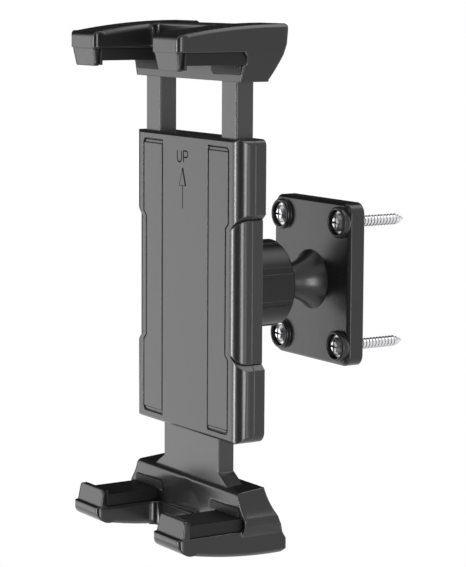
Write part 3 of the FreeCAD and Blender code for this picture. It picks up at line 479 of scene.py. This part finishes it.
def wire(name, points, origin):
    """A round wire along points, in millimetres from the origin."""
    form = bmesh.new()
    previous = None
    side = Vector((1.0, 0.0, 0.0))
    for i, point in enumerate(points):
        along = (points[min(i + 1, len(points) - 1)] - points[max(i - 1, 0)]).normalized()
        side = (side - along * side.dot(along)).normalized()
        across = along.cross(side)
        ring = []
        for k in range(WIRE_SIDES):
            t = 2 * math.pi * k / WIRE_SIDES
            spot = point + (side * math.cos(t) + across * math.sin(t)) * WIRE_RADIUS
            ring.append(form.verts.new(origin + spot * MM))
        if previous is None:
            form.faces.new(ring)
        else:
            for k in range(WIRE_SIDES):
                n = (k + 1) % WIRE_SIDES
                form.faces.new((previous[k], previous[n], ring[n], ring[k]))
        previous = ring
    form.faces.new(previous)
    for face in form.faces:
        face.smooth = True
    return add_object(name, mesh_from(form, name), finishes["spring_steel"])


def pin_height(node_name):
    """The height at which a node's pins sit."""
    low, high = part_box(node_name)
    return (low.z + high.z) / 2 / MM


low_z = pin_height("bar_spring_pins")
high_z = pin_height("spring_pins")
for side_name in ("left", "right"):
    node_name = "spring_" + side_name
    box_low, box_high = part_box(node_name)
    centre = (box_low + box_high) / 2
    origin = Vector((centre.x, centre.y, 0.0))
    coil = wire("coil_" + side_name, spring_path(low_z, high_z), origin)
    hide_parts(node_name)
    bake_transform(coil)


# ---------- floor and background ----------

FLOOR_Z = -1.2
FLOOR_HALF = 20.0
FLOOR_COLOUR = (0.86, 0.86, 0.87, 1.0)
AMBIENT = 0.20                # the world's light on the object


def background_rays(tree):
    """One for the rays that show the background: camera, glossy and transmission rays."""
    path = put(tree, "LightPath")
    seen = larger(tree, path.outputs["Is Camera Ray"], path.outputs["Is Glossy Ray"])
    return larger(tree, seen, path.outputs["Is Transmission Ray"])


def two_ways(tree, lit, seen, output):
    """Links one shader to the output for the light, and another for the background's rays."""
    mix = put(tree, "MixShader")
    tree.links.new(background_rays(tree), mix.inputs["Fac"])
    tree.links.new(lit, mix.inputs[1])
    tree.links.new(seen, mix.inputs[2])
    tree.links.new(mix.outputs["Shader"], put(tree, output).inputs["Surface"])


floor_pale = bpy.data.materials.new("floor_pale")
floor_pale.use_nodes = True
floor_tree = floor_pale.node_tree
floor_tree.nodes.clear()
two_ways(floor_tree, put(floor_tree, "BsdfDiffuse", Color=FLOOR_COLOUR).outputs["BSDF"],
         put(floor_tree, "Emission", Color=WHITE, Strength=1.0).outputs["Emission"],
         "OutputMaterial")

floor = add_object("floor", rectangle("floor", FLOOR_HALF, FLOOR_HALF, FLOOR_Z), floor_pale)

world = bpy.data.worlds.new("studio")
scene.world = world
world.use_nodes = True
sky = world.node_tree
sky.nodes.clear()
two_ways(sky, put(sky, "Background", Color=WHITE, Strength=AMBIENT).outputs["Background"],
         put(sky, "Background", Color=WHITE, Strength=1.0).outputs["Background"],
         "OutputWorld")


# ---------- lamps and dark cards ----------

TARGET = Vector((0.0, -0.06, 0.0))

# Name, azimuth and elevation in degrees, distance, width, height, and the lamp's radiance.
# Azimuth 0 is straight in front, and 90 is to the right.
LAMPS = (
    ("key", -50.0, -8.0, 1.6, 1.05, 1.25, 1.35),
    ("front_strip", -13.0, -7.5, 1.6, 0.36, 1.1, 18.0),
    ("right_strip", 73.0, -7.5, 1.6, 0.50, 1.1, 8.5),
    ("right_fill", 101.0, -7.5, 1.6, 0.40, 1.1, 1.8),
    ("back_fill", 166.0, 56.0, 1.8, 0.9, 0.9, 2.2),
)
CARDS = (
    ("card_behind", -118.0, 25.0, 2.2, 4.6, 3.2),
    ("card_front", 33.0, -5.0, 2.2, 1.6, 2.4),
)


def aim(obj, azimuth, elevation, distance):
    """Puts an object at a distance from the target, facing it."""
    a = math.radians(azimuth)
    e = math.radians(elevation)
    direction = Vector((math.sin(a) * math.cos(e), -math.cos(a) * math.cos(e), math.sin(e)))
    obj.location = TARGET + direction * distance
    obj.rotation_mode = "QUATERNION"
    obj.rotation_quaternion = direction.to_track_quat("Z", "Y")


for name, azimuth, elevation, distance, width, height, radiance in LAMPS:
    lamp = bpy.data.lights.new(name, "AREA")
    lamp.shape = "RECTANGLE"
    lamp.size = width
    lamp.size_y = height
    lamp.energy = radiance * math.pi * width * height
    softbox = bpy.data.objects.new(name, lamp)
    scene.collection.objects.link(softbox)
    aim(softbox, azimuth, elevation, distance)

card_black = bpy.data.materials.new("card_black")
card_black.use_nodes = True
card_shader = card_black.node_tree.nodes["Principled BSDF"]
card_shader.inputs["Base Color"].default_value = (0.01, 0.01, 0.01, 1.0)
card_shader.inputs["Roughness"].default_value = 0.9

for name, azimuth, elevation, distance, width, height in CARDS:
    card = add_object(name, rectangle(name, width / 2, height / 2), card_black)
    aim(card, azimuth, elevation, distance)
    # Only the object's reflections show it
    card.visible_camera = False
    card.visible_diffuse = False
    card.visible_shadow = False


# ---------- camera, at the photograph's viewing angle ----------

SENSOR_WIDTH = 36.0
LENS = 142.06
CAMERA_PLACE = (0.7641, -0.53966, 0.12323)
CAMERA_AXES = (Vector((0.54191, 0.84042, 0.00544)),     # right
               Vector((-0.11517, 0.06784, 0.99103)),    # up
               Vector((0.83251, -0.53767, 0.13356)))    # back

camera_data = bpy.data.cameras.new("camera")
camera_data.sensor_width = SENSOR_WIDTH
camera_data.lens = LENS
camera_data.clip_start = 0.05
camera_data.clip_end = 100.0
camera = bpy.data.objects.new("camera", camera_data)
scene.collection.objects.link(camera)
camera.matrix_world = (Matrix.Translation(CAMERA_PLACE)
                       @ Matrix(CAMERA_AXES).transposed().to_4x4())
scene.camera = camera
scene.view_settings.view_transform = "Standard"
